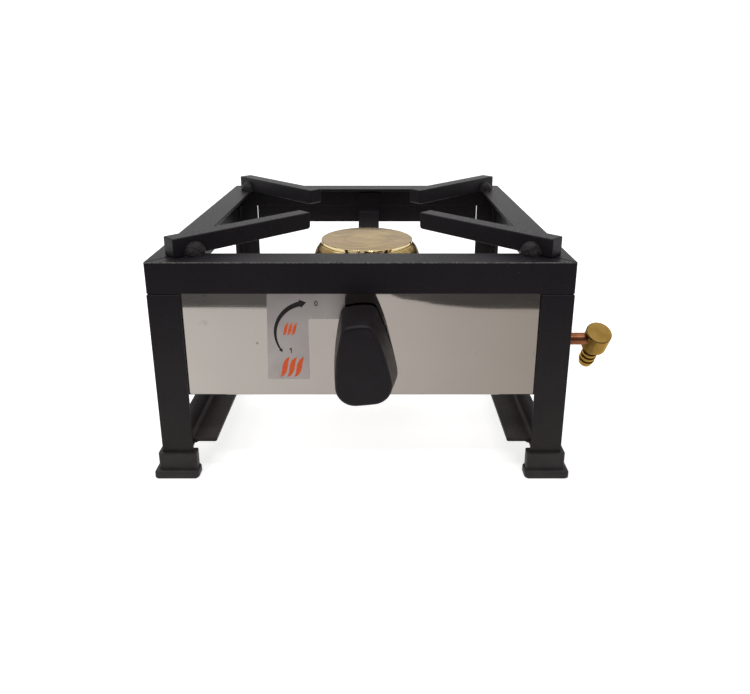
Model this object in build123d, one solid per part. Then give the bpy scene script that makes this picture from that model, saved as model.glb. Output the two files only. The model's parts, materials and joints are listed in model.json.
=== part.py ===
from build123d import *
import os
from math import cos, radians, sin, sqrt

# A floor-standing single-burner gas stove in a square frame of steel angle.
# Millimetres. X points right, Y to the back, Z up; the origin is on the floor, midway between the feet.

# Frame of rolled equal angle
FRAME_WIDTH = 325.0  # outside to outside, both ways
RING_TOP = 183.0  # top face of the ring above the floor
ANGLE_FLANGE = 25.0
ANGLE_THICKNESS = 3.0
ANGLE_ROOT_RADIUS = 3.2
ANGLE_TOE_RADIUS = 1.0
ANGLE_EDGE_RADIUS = 0.6  # outside edge of each toe
ANGLE_HEEL_RADIUS = 0.7
RING_CORNER_RADIUS = 1.6
MITRE_SEAM_DEPTH = 0.8  # V left along a welded mitre
LEG_SEAM_DEPTH = 1.3
SIDE_RAIL_BOTTOM = 29.2
SIDE_RAIL_LAP = 6.0  # width of the leg's flange that the rail's end covers
SIDE_RAIL_CORNER_RADIUS = 2.0
CROSS_STRIP_HEIGHT = 20.5
CROSS_STRIP_THICKNESS = 2.0
CROSS_STRIP_END_GAP = 0.7  # strip's end to the leg's toe

# Pot supports of square bar, on the diagonals
POT_BAR_SIZE = 15.0
POT_BAR_LENGTH = 133.4
POT_BAR_CORNER_GAP = 21.6  # bar's outer end to the ring's corner, along the diagonal
POT_BAR_EDGE_RADIUS = 1.0
POT_BAR_END_RADIUS = 3.0  # under its inner end
POT_BAR_SHIFT = 3.2  # how far right of its diagonal the front right bar is welded
WELD_WIDTH = 17.6
WELD_HEIGHT = 10.5
WELD_FROM_BAR_END = 17.2

# Feet pushed on the legs
FOOT_HEIGHT = 21.3
FOOT_WALL = 2.9
FOOT_CLEARANCE = 0.1
FOOT_FLOOR = 5.0
FOOT_CORNER_RADIUS = 2.0
FOOT_BASE_HEIGHT = 7.0
FOOT_BASE_FLARE = 3.6  # outside the leg's heel
FOOT_BASE_INNER_FLARE = 1.5
FOOT_BASE_CORNER_RADIUS = 3.5
FOOT_BASE_EDGE_RADIUS = 2.2
FOOT_BASE_CHAMFER = 1.1

# Front panel of stainless sheet, folded back along its bottom
PANEL_THICKNESS = 1.0
PANEL_HEIGHT = 104.6
PANEL_TOP_DROP = 7.5  # panel's top edge below the ring's top
PANEL_SIDE_GAP = 1.0  # panel's end to the root of the leg's angle
PANEL_FOLD_WIDTH = 10.0
PANEL_FOLD_RADIUS = 1.0

# Burner, hung from the ring's back rail
BURNER_OFFSET = 2.2  # burner's axis to the right of the frame's middle
CAP_DROP = 24.6  # cap's top below the ring's top
CAP_HEIGHT = 17.0
CAP_TOP_RADIUS = 45.6
CAP_BASE_RADIUS = 53.0
CAP_FLANK_BULGE = 1.7  # flank's middle beyond the straight cone
CAP_WALL = 3.0
CAP_RIM_HEIGHT = 2.6
CAP_RIM_ROUND = 0.6
CAP_GROOVE_HEIGHT = 1.2
CAP_GROOVE_DEPTH = 1.2
CAP_SKIRT_HEIGHT = 2.6  # plain skirt under the flame slots
CAP_SKIRT_WALL = 6.5  # at the seat
SLOT_COUNT = 40
SLOT_WIDTH = 1.8
SLOT_HEIGHT = 4.6
BURNER_HEIGHT = 49.0  # bracket to the cap's seat
BURNER_STEM_RADIUS = 32.0
BURNER_STEM_HEIGHT = 30.0
BURNER_BOWL_RADIUS = 50.0
BURNER_BOWL_RIM = 6.0
BURNER_WALL = 4.0
SPIGOT_HEIGHT = 2.4
SPIGOT_WALL = 3.0
SPIGOT_CLEARANCE = 0.4  # spigot to the inside of the cap's skirt
TUBE_RISE = 13.5  # mixing tube's axis above the burner's underside
TUBE_RADIUS = 13.0
TUBE_WALL = 3.0
MOUTH_RADIUS = 20.0
MOUTH_LENGTH = 14.0
MOUTH_FLARE_RADIUS = 18.0
BRACKET_WIDTH = 25.0
BRACKET_THICKNESS = 3.0
BRACKET_TOP_GAP = 8.0  # bracket's top end below the ring's top
BRACKET_UPSTAND = 24.0
BRACKET_BEND_RADIUS = 8.0
BRACKET_TAIL = 18.0  # past the burner's bolt
BOLT_RADIUS = 3.0
BOLT_GRIP = 10.0  # thread in the burner
BOLT_HEAD_FLATS = 10.0
BOLT_HEAD_HEIGHT = 4.0
BOLT_CLEARANCE = 0.1
BOLT_BOSS_RADIUS = 9.0
BOLT_BOSS_COVER = 4.0

# Gas valve behind the panel
VALVE_LENGTH = 46.5  # panel's back to the valve's rear face
VALVE_RADIUS = 11.5
VALVE_FLANGE_RADIUS = 14.0
VALVE_FLANGE_THICKNESS = 3.0
NECK_RADIUS = 8.0
NECK_LENGTH = 11.0  # in front of the panel's back
NECK_CLEARANCE = 0.2
LOCK_NUT_FLATS = 22.0
LOCK_NUT_THICKNESS = 5.0
SPINDLE_RADIUS = 4.0
SPINDLE_FLAT = 1.2  # depth of the flat on its front end
RUNNING_CLEARANCE = 0.05
PLUG_RADIUS = 6.0
PLUG_LENGTH = 28.0
PLUG_WALL = 8.5  # panel's back to the plug's chamber
PORT_RADIUS = 2.5
INLET_OFFSET = 31.0  # panel's back to the inlet's axis
INLET_RADIUS = 8.5
INLET_REACH = 20.0
INLET_SOCKET = 7.0
INJECTOR_FLATS = 17.0
INJECTOR_FLANGE = 6.0
INJECTOR_LENGTH = 16.0
INJECTOR_TIP_RADIUS = 4.0
INJECTOR_GAP = 0.3  # injector to the turning plug
INJECTOR_LAP = 3.0  # how far its tip reaches into the bell mouth
JET_RADIUS = 0.8

# Gas pipe and hose elbow on the right
PIPE_RADIUS = 5.0
PIPE_WALL = 1.0
PIPE_CLEARANCE = 0.05
PIPE_NUT_FLATS = 19.0
PIPE_NUT_LENGTH = 11.0
ELBOW_STANDOFF = 32.5  # frame's side to the elbow's axis
ELBOW_DROOP = 56.0  # degrees below level, towards the back
ELBOW_RADIUS = 10.35
ELBOW_LENGTH = 19.5
ELBOW_HEAD = 9.5  # pipe's axis to the elbow's blind end
ELBOW_SOCKET_DEPTH = 5.5
ELBOW_CHAMFER = 0.8
NOZZLE_RIDGES = 3
NOZZLE_PITCH = 6.2
NOZZLE_CREST_RADIUS = 6.6
NOZZLE_CREST_LAND = 1.2
NOZZLE_ROOT_RADIUS = 5.7
NOZZLE_STEM = 8.0
NOZZLE_BORE_RADIUS = 3.2

# Control knob
KNOB_GAP = 2.5  # knob's back to the panel
KNOB_DEPTH = 40.0
KNOB_BACK_WIDTH = 51.2
KNOB_BACK_BOTTOM = 30.0  # below the axis
KNOB_BACK_TIP_WIDTH = 25.8
KNOB_BACK_TIP_HEIGHT = 43.2  # above the axis
KNOB_FRONT_WIDTH = 41.8
KNOB_FRONT_BOTTOM = 20.0
KNOB_FRONT_TIP_WIDTH = 20.8
KNOB_FRONT_TIP_HEIGHT = 42.4
KNOB_FLANK_BULGE = 3.0  # flank's middle beyond a straight line
KNOB_END_ARCH = 1.0  # fall of the lower end's middle
KNOB_END_CORNER_RADIUS = 14.5
KNOB_TIP_ARCH = 1.6  # rise of the tip's curved end
KNOB_TIP_CORNER_RADIUS = 6.5
KNOB_FRONT_EDGE_RADIUS = 2.4
KNOB_WALL = 2.6
KNOB_FACE_THICKNESS = 4.0
KNOB_HUB_RADIUS = 8.0
KNOB_HUB_GAP = 1.5  # hub to the valve's neck
KNOB_FIT = 0.02
KNOB_LEAN = 5.5  # degrees to the left of upright, when closed

# Places that several pieces share
HALF = FRAME_WIDTH / 2
RING_BOTTOM = RING_TOP - ANGLE_FLANGE
PANEL_FRONT = -HALF + ANGLE_THICKNESS
PANEL_BACK = PANEL_FRONT + PANEL_THICKNESS
CAP_TOP = RING_TOP - CAP_DROP
CAP_SEAT = CAP_TOP - CAP_HEIGHT
BURNER_BOTTOM = CAP_SEAT - BURNER_HEIGHT
VALVE_Z = BURNER_BOTTOM + TUBE_RISE
VALVE_REAR = PANEL_BACK + VALVE_LENGTH
NECK_FRONT = PANEL_BACK - NECK_LENGTH
CHAMBER_FRONT = PANEL_BACK + PLUG_WALL
PLUG_REAR = CHAMBER_FRONT + PLUG_LENGTH
INLET_Y = PANEL_BACK + INLET_OFFSET
PIPE_START = INLET_REACH - INLET_SOCKET
ELBOW_X = HALF + ELBOW_STANDOFF - BURNER_OFFSET  # from the burner's axis
PIPE_END = ELBOW_X - ELBOW_RADIUS + ELBOW_SOCKET_DEPTH
KNOB_BACK = PANEL_FRONT - KNOB_GAP
KNOB_FRONT = KNOB_BACK - KNOB_DEPTH
CAP_SKIRT_RADIUS = CAP_BASE_RADIUS - CAP_SKIRT_WALL
SPIGOT_RADIUS = CAP_SKIRT_RADIUS - SPIGOT_CLEARANCE
MOUTH_Y = VALVE_REAR + INJECTOR_LENGTH - INJECTOR_LAP

FRONT_LEFT = 225  # degrees from +X to the front left corner
CORNERS = {"front_left": 0, "front_right": 90, "back_right": 180, "back_left": 270}
SIDES = {"front": 0, "right": 90, "back": 180, "left": 270}


def turned(shape, angle):
    """The shape turned about the upright through its frame's middle."""
    return Rot(0, 0, angle) * shape


def along_y(front, back, radius):
    """A round bar on the valve's axis, from one depth to another."""
    plane = Plane((0, front, VALVE_Z), x_dir=(1, 0, 0), z_dir=(0, 1, 0))
    return extrude(plane * Circle(radius), back - front)


def along_x(start, end, radius):
    """A round bar on the gas inlet's axis."""
    plane = Plane((start, INLET_Y, VALVE_Z), x_dir=(0, 1, 0), z_dir=(1, 0, 0))
    return extrude(plane * Circle(radius), end - start)


def hexagon(flats):
    """A hexagon by its width across flats."""
    return RegularPolygon(flats / 2, 6, major_radius=False)


def seam(start, end, depth):
    """A square bar on its corner, which cuts a V of a depth along a level line."""
    run = Vector(*end) - Vector(*start)
    side = depth * sqrt(2)
    plane = Plane(start, x_dir=(0, 0, 1), z_dir=run)
    return extrude(plane * Rot(0, 0, 45) * Rectangle(side, side), run.length)


def angle_plan(outer, inside):
    """The angle's L, heel at the origin, flanges along +X and +Y, grown outside the heel and inside."""
    low = -outer
    far = ANGLE_FLANGE + inside
    inner = ANGLE_THICKNESS + inside
    points = [(low, low), (far, low), (far, inner), (inner, inner), (inner, far), (low, far)]
    return make_face(Polyline(*points, close=True))


def angle_section():
    """The rolled angle: rounded root, toes and heel."""
    section = angle_plan(0, 0)
    rounds = {
        (ANGLE_THICKNESS, ANGLE_THICKNESS): ANGLE_ROOT_RADIUS,
        (ANGLE_FLANGE, ANGLE_THICKNESS): ANGLE_TOE_RADIUS,
        (ANGLE_THICKNESS, ANGLE_FLANGE): ANGLE_TOE_RADIUS,
        (ANGLE_FLANGE, 0): ANGLE_EDGE_RADIUS,
        (0, ANGLE_FLANGE): ANGLE_EDGE_RADIUS,
        (0, 0): ANGLE_HEEL_RADIUS,
    }
    for point, radius in rounds.items():
        vertex = section.vertices().sort_by_distance(point)[0]
        section = fillet(vertex, radius)
    return section


def top_rail():
    """The ring's front length: one flange on top, mitred at both ends, with rounded outer corners."""
    plane = Plane((HALF, -HALF, RING_TOP), x_dir=(0, 1, 0), z_dir=(-1, 0, 0))
    rail = extrude(plane * angle_section(), FRAME_WIDTH)
    inner = HALF - ANGLE_FLANGE
    outline = Polyline((-HALF, -HALF), (HALF, -HALF), (inner, -inner), (-inner, -inner), close=True)
    rail &= extrude(Plane.XY.offset(RING_BOTTOM) * make_face(outline), ANGLE_FLANGE)
    square = RectangleRounded(FRAME_WIDTH, FRAME_WIDTH, RING_CORNER_RADIUS)
    rail &= extrude(Plane.XY.offset(RING_BOTTOM) * square, ANGLE_FLANGE)
    for side in (-1, 1):
        rail -= seam((side * HALF, -HALF, RING_TOP), (side * inner, -inner, RING_TOP), MITRE_SEAM_DEPTH)
    return rail


def leg():
    """The front left leg, from the foot's floor to the ring."""
    plane = Plane((-HALF, -HALF, FOOT_FLOOR))
    post = extrude(plane * angle_section(), RING_BOTTOM - FOOT_FLOOR)
    corner = (-HALF, -HALF, RING_BOTTOM)
    post -= seam(corner, (-HALF + ANGLE_FLANGE, -HALF, RING_BOTTOM), LEG_SEAM_DEPTH)
    post -= seam(corner, (-HALF, -HALF + ANGLE_FLANGE, RING_BOTTOM), LEG_SEAM_DEPTH)
    return post


def side_rail():
    """The lower rail on the left, between the backs of the legs' flanges, its inner corners rounded."""
    outer = -HALF + ANGLE_FLANGE - SIDE_RAIL_LAP
    inner = outer + ANGLE_FLANGE
    end = HALF - ANGLE_THICKNESS
    plane = Plane((outer, end, SIDE_RAIL_BOTTOM), x_dir=(1, 0, 0), z_dir=(0, -1, 0))
    rail = extrude(plane * angle_section(), 2 * end)
    plan = make_face(Polyline((outer, -end), (inner, -end), (inner, end), (outer, end), close=True))
    plan = fillet(plan.vertices().sort_by(Axis.X)[-2:], SIDE_RAIL_CORNER_RADIUS)
    return rail & extrude(Plane.XY.offset(SIDE_RAIL_BOTTOM) * plan, ANGLE_FLANGE)


def cross_strip():
    """The flat strip between the back legs, under the ring."""
    length = FRAME_WIDTH - 2 * (ANGLE_FLANGE + CROSS_STRIP_END_GAP)
    centre_y = HALF - CROSS_STRIP_THICKNESS / 2
    centre_z = RING_BOTTOM - CROSS_STRIP_HEIGHT / 2
    return Pos(0, centre_y, centre_z) * Box(length, CROSS_STRIP_THICKNESS, CROSS_STRIP_HEIGHT)


def pot_bar_end():
    """Distance of a pot support's outer end from the frame's middle."""
    return HALF * sqrt(2) - POT_BAR_CORNER_GAP


def on_diagonal(shape, corner):
    """A shape made along +X, laid on a corner's diagonal as that corner's bar is welded."""
    shift = POT_BAR_SHIFT if corner == "front_right" else 0
    return Pos(shift, 0, 0) * turned(shape, FRONT_LEFT + CORNERS[corner])


def pot_support():
    """A square bar along +X, rounded more under its inner end."""
    outer = pot_bar_end()
    inner = outer - POT_BAR_LENGTH
    top = RING_TOP + POT_BAR_SIZE
    points = [(inner, RING_TOP), (outer, RING_TOP), (outer, top), (inner, top)]
    outline = make_face(Polyline(*points, close=True))
    rounds = [POT_BAR_END_RADIUS] + [POT_BAR_EDGE_RADIUS] * 3
    for point, radius in zip(points, rounds):
        outline = fillet(outline.vertices().sort_by_distance(point)[0], radius)
    bar = extrude(Plane.XZ * outline, POT_BAR_SIZE / 2, both=True)
    for side in (0, -1):
        bar = fillet(bar.faces().sort_by(Axis.Y)[side].edges(), POT_BAR_EDGE_RADIUS)
    return bar


def weld_beads():
    """Half domes of weld, one on each side of every pot support."""
    half = WELD_WIDTH / 2
    shoulder = WELD_HEIGHT - half
    crown = CenterArc((0, shoulder), half, 0, 90)
    profile = crown + Polyline((0, WELD_HEIGHT), (0, 0), (half, 0), (half, shoulder))
    bead = revolve(Plane.XZ * make_face(profile), Axis.Z, 180)
    reach = pot_bar_end() - WELD_FROM_BAR_END
    left = Pos(reach, POT_BAR_SIZE / 2, RING_TOP) * bead
    right = Pos(reach, -POT_BAR_SIZE / 2, RING_TOP) * turned(bead, 180)
    beads = [on_diagonal(one, corner) for corner in CORNERS for one in (left, right)]
    return Compound(children=beads)


def foot():
    """The front left foot: an L-shaped sleeve with a flared base."""
    outset = FOOT_CLEARANCE + FOOT_WALL
    sleeve_plan = angle_plan(outset, outset)
    sleeve_plan = fillet(sleeve_plan.vertices(), FOOT_CORNER_RADIUS)
    base_plan = angle_plan(outset + FOOT_BASE_FLARE, outset + FOOT_BASE_INNER_FLARE)
    base_plan = fillet(base_plan.vertices(), FOOT_BASE_CORNER_RADIUS)
    base = extrude(base_plan, FOOT_BASE_HEIGHT)
    base = fillet(base.faces().sort_by(Axis.Z)[-1].edges(), FOOT_BASE_EDGE_RADIUS)
    base = chamfer(base.faces().sort_by(Axis.Z)[0].edges(), FOOT_BASE_CHAMFER)
    sleeve = extrude(Plane.XY.offset(FOOT_BASE_HEIGHT) * sleeve_plan, FOOT_HEIGHT - FOOT_BASE_HEIGHT)
    socket_plan = angle_plan(FOOT_CLEARANCE, FOOT_CLEARANCE)
    root = socket_plan.vertices().sort_by_distance((ANGLE_THICKNESS, ANGLE_THICKNESS))[0]
    socket_plan = fillet(root, ANGLE_ROOT_RADIUS - FOOT_CLEARANCE)
    socket = extrude(Plane.XY.offset(FOOT_FLOOR) * socket_plan, FOOT_HEIGHT - FOOT_FLOOR)
    return Pos(-HALF, -HALF, 0) * (base + sleeve - socket)


def front_panel():
    """Polished sheet behind the ring and legs, folded back at the bottom, with the valve's hole."""
    top = RING_TOP - PANEL_TOP_DROP
    bottom = top - PANEL_HEIGHT
    fold_back = PANEL_FRONT + PANEL_FOLD_WIDTH
    fold_top = bottom + PANEL_THICKNESS
    points = [
        (PANEL_FRONT, bottom),
        (fold_back, bottom),
        (fold_back, fold_top),
        (PANEL_BACK, fold_top),
        (PANEL_BACK, top),
        (PANEL_FRONT, top),
    ]
    outline = make_face(Polyline(*points, close=True))
    for point, radius in ((points[0], PANEL_FOLD_RADIUS + PANEL_THICKNESS), (points[3], PANEL_FOLD_RADIUS)):
        outline = fillet(outline.vertices().sort_by_distance(point)[0], radius)
    half_length = HALF - ANGLE_THICKNESS - ANGLE_ROOT_RADIUS - PANEL_SIDE_GAP
    sheet = extrude(Plane.YZ * outline, half_length, both=True)
    hole = along_y(PANEL_FRONT, PANEL_BACK, NECK_RADIUS + NECK_CLEARANCE)
    return sheet - Pos(BURNER_OFFSET, 0, 0) * hole


def burner_bracket():
    """Flat bar from the ring's back rail, sloping down and then level under the burner."""
    half = BRACKET_THICKNESS / 2
    back = HALF - ANGLE_THICKNESS - half
    top = RING_TOP - BRACKET_TOP_GAP
    bend = top - BRACKET_UPSTAND
    level = BURNER_BOTTOM - half
    path = FilletPolyline(
        (0, back, top),
        (0, back, bend),
        (0, back - (bend - level), level),
        (0, -BRACKET_TAIL, level),
        radius=BRACKET_BEND_RADIUS,
    )
    section = Plane((0, back, top), x_dir=(1, 0, 0), z_dir=(0, 0, -1))
    bar = sweep(section * Rectangle(BRACKET_WIDTH, BRACKET_THICKNESS), path=path)
    hole = Pos(0, 0, level) * Cylinder(BOLT_RADIUS + BOLT_CLEARANCE, 2 * BRACKET_THICKNESS)
    return bar - hole


def burner_bolt():
    """Hexagon bolt from under the bracket into the burner's boss."""
    head_top = BURNER_BOTTOM - BRACKET_THICKNESS
    head = extrude(Plane.XY.offset(head_top - BOLT_HEAD_HEIGHT) * hexagon(BOLT_HEAD_FLATS), BOLT_HEAD_HEIGHT)
    shank = extrude(Plane.XY.offset(head_top) * Circle(BOLT_RADIUS), BRACKET_THICKNESS + BOLT_GRIP)
    return head + shank


def burner_body():
    """Cast bowl with its mixing tube and bell mouth, and a spigot that centres the cap."""
    bowl_foot = BURNER_BOTTOM + BURNER_STEM_HEIGHT
    bowl_rim = CAP_SEAT - BURNER_BOWL_RIM
    outside = [
        (0, BURNER_BOTTOM),
        (BURNER_STEM_RADIUS, BURNER_BOTTOM),
        (BURNER_STEM_RADIUS, bowl_foot),
        (BURNER_BOWL_RADIUS, bowl_rim),
        (BURNER_BOWL_RADIUS, CAP_SEAT),
        (SPIGOT_RADIUS, CAP_SEAT),
        (SPIGOT_RADIUS, CAP_SEAT + SPIGOT_HEIGHT),
        (0, CAP_SEAT + SPIGOT_HEIGHT),
    ]
    spigot_inside = SPIGOT_RADIUS - SPIGOT_WALL
    stem_inside = BURNER_STEM_RADIUS - BURNER_WALL
    inside = [
        (0, BURNER_BOTTOM + BURNER_WALL),
        (stem_inside, BURNER_BOTTOM + BURNER_WALL),
        (stem_inside, bowl_foot),
        (spigot_inside, bowl_rim + BURNER_WALL),
        (spigot_inside, CAP_SEAT + SPIGOT_HEIGHT),
        (0, CAP_SEAT + SPIGOT_HEIGHT),
    ]
    bowl = revolve(Plane.XZ * make_face(Polyline(*outside, close=True)), Axis.Z)
    chamber = revolve(Plane.XZ * make_face(Polyline(*inside, close=True)), Axis.Z)
    boss_height = BOLT_GRIP + BOLT_BOSS_COVER
    boss = extrude(Plane.XY.offset(BURNER_BOTTOM) * Circle(BOLT_BOSS_RADIUS), boss_height)
    thread_radius = BOLT_RADIUS + BOLT_CLEARANCE
    thread = extrude(Plane.XY.offset(BURNER_BOTTOM) * Circle(thread_radius), BOLT_GRIP + BOLT_CLEARANCE)
    solid = bowl + mixing_tube(0)
    return solid - chamber - mixing_tube(TUBE_WALL) + boss - thread


def mixing_tube(wall):
    """The mixing tube from the bell mouth to the bowl's axis, shrunk by a wall."""
    radius = TUBE_RADIUS - wall
    mouth = MOUTH_RADIUS - wall
    length = -MOUTH_Y
    flare = RadiusArc((radius, MOUTH_LENGTH), (mouth, 0), MOUTH_FLARE_RADIUS)
    outline = flare + Polyline((mouth, 0), (0, 0), (0, length), (radius, length), (radius, MOUTH_LENGTH))
    plane = Plane((0, MOUTH_Y, VALVE_Z))
    return revolve(plane * make_face(outline), Axis((0, 0, VALVE_Z), (0, 1, 0)))


def burner_cap():
    """Hollow turned cap: flat top, grooved rim, and a bulging flank with a row of flame slots."""
    groove_top = CAP_TOP - CAP_RIM_HEIGHT
    groove_bottom = groove_top - CAP_GROOVE_HEIGHT
    slot_foot = CAP_SEAT + CAP_SKIRT_HEIGHT
    inner_top = CAP_TOP - CAP_WALL
    throat = CAP_TOP_RADIUS - CAP_GROOVE_DEPTH - CAP_WALL
    flank_middle = ((CAP_BASE_RADIUS + CAP_TOP_RADIUS) / 2 + CAP_FLANK_BULGE, (CAP_SEAT + groove_bottom) / 2)
    flank = ThreePointArc((CAP_BASE_RADIUS, CAP_SEAT), flank_middle, (CAP_TOP_RADIUS, groove_bottom))
    outline = [
        (CAP_TOP_RADIUS, groove_bottom),
        (CAP_TOP_RADIUS - CAP_GROOVE_DEPTH, groove_bottom),
        (CAP_TOP_RADIUS - CAP_GROOVE_DEPTH, groove_top),
        (CAP_TOP_RADIUS, groove_top),
        (CAP_TOP_RADIUS, CAP_TOP),
        (0, CAP_TOP),
        (0, inner_top),
        (throat, inner_top),
        (CAP_SKIRT_RADIUS, slot_foot),
        (CAP_SKIRT_RADIUS, CAP_SEAT),
        (CAP_BASE_RADIUS, CAP_SEAT),
    ]
    face = make_face(flank + Polyline(*outline))
    rim = [(CAP_TOP_RADIUS, groove_top), (CAP_TOP_RADIUS, CAP_TOP)]
    for point in rim:
        face = fillet(face.vertices().sort_by_distance(point)[0], CAP_RIM_ROUND)
    cap = revolve(Plane.XZ * face, Axis.Z)
    slot_start = min(throat, CAP_SKIRT_RADIUS) - CAP_WALL
    slot_end = max(CAP_TOP_RADIUS, CAP_BASE_RADIUS) + 2 * CAP_FLANK_BULGE
    outwards = (Align.MIN, Align.CENTER, Align.MIN)
    slot = Box(slot_end - slot_start, SLOT_WIDTH, SLOT_HEIGHT, align=outwards)
    slot = Pos(slot_start, 0, slot_foot) * slot
    slots = [turned(slot, 360 * number / SLOT_COUNT) for number in range(SLOT_COUNT)]
    return cap - slots


def valve_body():
    """Turned valve: flange behind the panel, threaded neck through it, inlet on the right."""
    body = along_y(PANEL_BACK, VALVE_REAR, VALVE_RADIUS)
    body += along_y(PANEL_BACK, PANEL_BACK + VALVE_FLANGE_THICKNESS, VALVE_FLANGE_RADIUS)
    body += along_y(NECK_FRONT, PANEL_BACK, NECK_RADIUS)
    body += along_x(0, INLET_REACH, INLET_RADIUS)
    body -= along_y(NECK_FRONT, CHAMBER_FRONT, SPINDLE_RADIUS + RUNNING_CLEARANCE)
    body -= along_y(CHAMBER_FRONT, VALVE_REAR, PLUG_RADIUS + RUNNING_CLEARANCE)
    body -= along_x(0, PIPE_START, PORT_RADIUS)
    body -= along_x(PIPE_START, INLET_REACH, PIPE_RADIUS + PIPE_CLEARANCE)
    return body


def valve_lock_nut():
    """Hexagon nut that clamps the panel against the valve's flange."""
    plane = Plane((0, PANEL_FRONT, VALVE_Z), x_dir=(1, 0, 0), z_dir=(0, -1, 0))
    nut = extrude(plane * hexagon(LOCK_NUT_FLATS), LOCK_NUT_THICKNESS)
    return nut - along_y(PANEL_FRONT - LOCK_NUT_THICKNESS, PANEL_FRONT, NECK_RADIUS + NECK_CLEARANCE / 2)


def injector():
    """Brass jet screwed into the valve's rear, with a tapered tip."""
    spigot = along_y(PLUG_REAR + INJECTOR_GAP, VALVE_REAR, PLUG_RADIUS)
    plane = Plane((0, VALVE_REAR, VALVE_Z), x_dir=(1, 0, 0), z_dir=(0, 1, 0))
    flange = extrude(plane * hexagon(INJECTOR_FLATS), INJECTOR_FLANGE)
    root = plane.offset(INJECTOR_FLANGE) * Circle(PLUG_RADIUS)
    tip = plane.offset(INJECTOR_LENGTH) * Circle(INJECTOR_TIP_RADIUS)
    jet = along_y(PLUG_REAR + INJECTOR_GAP, VALVE_REAR + INJECTOR_LENGTH, JET_RADIUS)
    well = along_y(PLUG_REAR + INJECTOR_GAP, VALVE_REAR + INJECTOR_FLANGE, PORT_RADIUS)
    return spigot + flange + loft([root, tip]) - jet - well


def inlet_pipe():
    """Copper pipe from the valve to the elbow."""
    return along_x(PIPE_START, PIPE_END, PIPE_RADIUS) - along_x(PIPE_START, PIPE_END, PIPE_RADIUS - PIPE_WALL)


def pipe_nut():
    """Hexagon compression nut against the valve's inlet."""
    plane = Plane((INLET_REACH, INLET_Y, VALVE_Z), x_dir=(0, 1, 0), z_dir=(1, 0, 0))
    nut = extrude(plane * hexagon(PIPE_NUT_FLATS), PIPE_NUT_LENGTH)
    return nut - along_x(INLET_REACH, INLET_REACH + PIPE_NUT_LENGTH, PIPE_RADIUS + PIPE_CLEARANCE)


def hose_elbow():
    """Turned elbow whose ribbed hose nozzle points down to the back."""
    droop = radians(ELBOW_DROOP)
    run = (0, cos(droop), -sin(droop))
    plane = Plane((ELBOW_X, INLET_Y, VALVE_Z), x_dir=(1, 0, 0), z_dir=run)
    body_end = ELBOW_LENGTH - ELBOW_HEAD
    outline = [(0, -ELBOW_HEAD), (ELBOW_RADIUS - ELBOW_CHAMFER, -ELBOW_HEAD)]
    outline += [(ELBOW_RADIUS, ELBOW_CHAMFER - ELBOW_HEAD), (ELBOW_RADIUS, body_end - ELBOW_CHAMFER)]
    outline += [(ELBOW_RADIUS - ELBOW_CHAMFER, body_end)]
    ridge = body_end + NOZZLE_STEM
    outline += [(NOZZLE_ROOT_RADIUS, body_end), (NOZZLE_ROOT_RADIUS, ridge)]
    for number in range(NOZZLE_RIDGES):
        foot_at = ridge + number * NOZZLE_PITCH
        outline += [(NOZZLE_CREST_RADIUS, foot_at), (NOZZLE_CREST_RADIUS, foot_at + NOZZLE_CREST_LAND)]
        outline += [(NOZZLE_ROOT_RADIUS, foot_at + NOZZLE_PITCH)]
    tip = ridge + NOZZLE_RIDGES * NOZZLE_PITCH
    outline += [(0, tip)]
    profile = Plane((ELBOW_X, INLET_Y, VALVE_Z), x_dir=(1, 0, 0), z_dir=plane.y_dir * -1)
    solid = revolve(profile * make_face(Polyline(*outline, close=True)), Axis(plane.origin, plane.z_dir))
    solid -= extrude(plane * Circle(NOZZLE_BORE_RADIUS), tip)
    solid -= along_x(ELBOW_X - ELBOW_RADIUS, PIPE_END, PIPE_RADIUS + PIPE_CLEARANCE)
    return solid - along_x(PIPE_END, ELBOW_X, PIPE_RADIUS - PIPE_WALL)


def knob_outline(width, bottom, tip_width, tip_height, inset=0):
    """Drop: a wide rounded end below the axis, bulging flanks and an arched tip, shrunk by an inset."""
    end = width / 2 - inset
    tip = tip_width / 2 - inset
    low = inset - bottom
    top = tip_height - inset
    heel = low + KNOB_END_ARCH
    shoulder = top - KNOB_TIP_ARCH
    flank = (end + tip) / 2 + KNOB_FLANK_BULGE
    middle = (heel + shoulder) / 2
    outline = [
        ThreePointArc((-end, heel), (0, low), (end, heel)),
        ThreePointArc((end, heel), (flank, middle), (tip, shoulder)),
        ThreePointArc((tip, shoulder), (0, top), (-tip, shoulder)),
        ThreePointArc((-tip, shoulder), (-flank, middle), (-end, heel)),
    ]
    face = make_face(outline)
    face = fillet(face.vertices().sort_by(Axis.Y)[:2], KNOB_END_CORNER_RADIUS - inset)
    return fillet(face.vertices().sort_by(Axis.Y)[-2:], KNOB_TIP_CORNER_RADIUS - inset)


def knob_plane(y):
    """A plane square to the valve's axis, upright along the leaning knob."""
    lean = radians(KNOB_LEAN)
    return Plane((0, y, VALVE_Z), x_dir=(cos(lean), 0, sin(lean)), z_dir=(0, -1, 0))


def spindle_end(fit):
    """Section of the spindle's flatted end, grown by a fit."""
    radius = SPINDLE_RADIUS + fit
    flat = SPINDLE_RADIUS - SPINDLE_FLAT + fit
    return Circle(radius) & Pos(0, flat - radius) * Rectangle(2 * radius, 2 * radius)


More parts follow.
